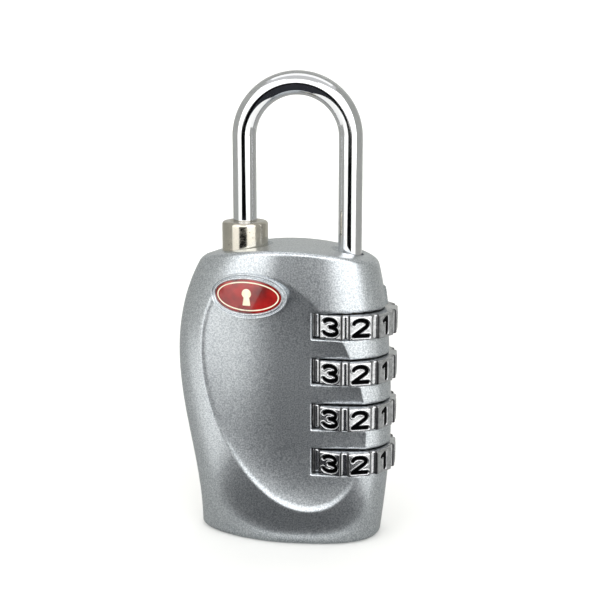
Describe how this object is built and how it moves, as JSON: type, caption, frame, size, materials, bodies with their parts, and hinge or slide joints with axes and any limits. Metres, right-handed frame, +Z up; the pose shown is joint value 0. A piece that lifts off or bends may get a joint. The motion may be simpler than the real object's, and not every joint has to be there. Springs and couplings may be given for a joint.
{
  "type": "luggage combination padlock",
  "caption": "Luggage padlock with numbered dials down one side, a lifting round shackle and a key override that drops a collar to free the shackle's toe.",
  "frame": {"origin": "centre of the flat base", "axes": "+Z up through the shackle, +X towards the dials, -Y the front with the badge"},
  "size_m": [0.0339, 0.0151, 0.0715],
  "materials": {
    "housing_paint": "satin metallic paint over cast zinc",
    "shackle_chrome": "polished chrome plate on steel",
    "collar_nickel": "satin nickel plate",
    "dial_plating": "bright plated zinc",
    "digit_paint": "black filling paint",
    "steel": "bright spring steel",
    "brass": "machined",
    "badge_enamel": "gloss enamel in a raised rim",
    "badge_cream": "gloss cream enamel"
  },
  "bodies": {
    "case": {"housing": "housing_paint", "bottom_cover": "housing_paint", "cover_screws": "steel", "badge": "badge_enamel", "key_cylinder": "brass", "detent_spring": "steel", "collar_guide_pin": "steel", "hub_spring": "steel", "shackle_spring": "steel"},
    "shackle": {"shackle": "shackle_chrome", "shackle_retaining_ring": "steel"},
    "dial_1": {"dial_1": "dial_plating"},
    "dial_2": {"dial_2": "dial_plating"},
    "dial_3": {"dial_3": "dial_plating"},
    "dial_4": {"dial_4": "dial_plating"},
    "hub_1": {"hub_1": "brass"},
    "hub_2": {"hub_2": "brass"},
    "hub_3": {"hub_3": "brass"},
    "hub_4": {"hub_4": "brass"},
    "key": {"key_plug": "brass", "plug_cross_pin": "steel", "plug_retaining_clip": "steel", "wafers": "brass", "collar_spring": "steel"},
    "collar": {"collar": "collar_nickel", "collar_cam_sleeve": "brass"}
  },
  "joints": [
    {"name": "shackle_lift", "type": "slide", "parent": "case", "child": "shackle", "axis": [0, 0, 1], "range_m": [0, 0.0052], "deforming": ["shackle_spring"]},
    {"name": "dial_1_turn", "type": "hinge", "parent": "case", "child": "dial_1", "pos_m": [0.01, 0, 0.03438], "axis": [0, 0, 1], "continuous": true},
    {"name": "dial_2_turn", "type": "hinge", "parent": "case", "child": "dial_2", "pos_m": [0.01, 0, 0.02732], "axis": [0, 0, 1], "continuous": true},
    {"name": "dial_3_turn", "type": "hinge", "parent": "case", "child": "dial_3", "pos_m": [0.01, 0, 0.02026], "axis": [0, 0, 1], "continuous": true},
    {"name": "dial_4_turn", "type": "hinge", "parent": "case", "child": "dial_4", "pos_m": [0.01, 0, 0.0132], "axis": [0, 0, 1], "continuous": true},
    {"name": "hub_1_shift", "type": "slide", "parent": "dial_1", "child": "hub_1", "axis": [0, 0, 1], "range_m": [-0.0015, 0], "stiffness_N_per_m": 60, "springref_m": 0.002, "deforming": ["hub_spring"]},
    {"name": "hub_2_shift", "type": "slide", "parent": "dial_2", "child": "hub_2", "axis": [0, 0, 1], "range_m": [-0.0015, 0]},
    {"name": "hub_3_shift", "type": "slide", "parent": "dial_3", "child": "hub_3", "axis": [0, 0, 1], "range_m": [-0.0015, 0]},
    {"name": "hub_4_shift", "type": "slide", "parent": "dial_4", "child": "hub_4", "axis": [0, 0, 1], "range_m": [-0.0015, 0]},
    {"name": "key_turn", "type": "hinge", "parent": "case", "child": "key", "pos_m": [-0.006, 0, 0.008], "axis": [0, 0, 1], "range_deg": [0, 90]},
    {"name": "collar_drop", "type": "slide", "parent": "case", "child": "collar", "axis": [0, 0, 1], "range_m": [-0.0043, 0], "stiffness_N_per_m": 60, "springref_m": 0.003, "deforming": ["collar_spring"]}
  ],
  "couplings": [
    {"joint": "hub_2_shift", "follows": "hub_1_shift", "ratio": 1},
    {"joint": "hub_3_shift", "follows": "hub_1_shift", "ratio": 1},
    {"joint": "hub_4_shift", "follows": "hub_1_shift", "ratio": 1},
    {"joint": "key_turn", "follows": "collar_drop", "rad_per_m": -365.3}
  ]
}
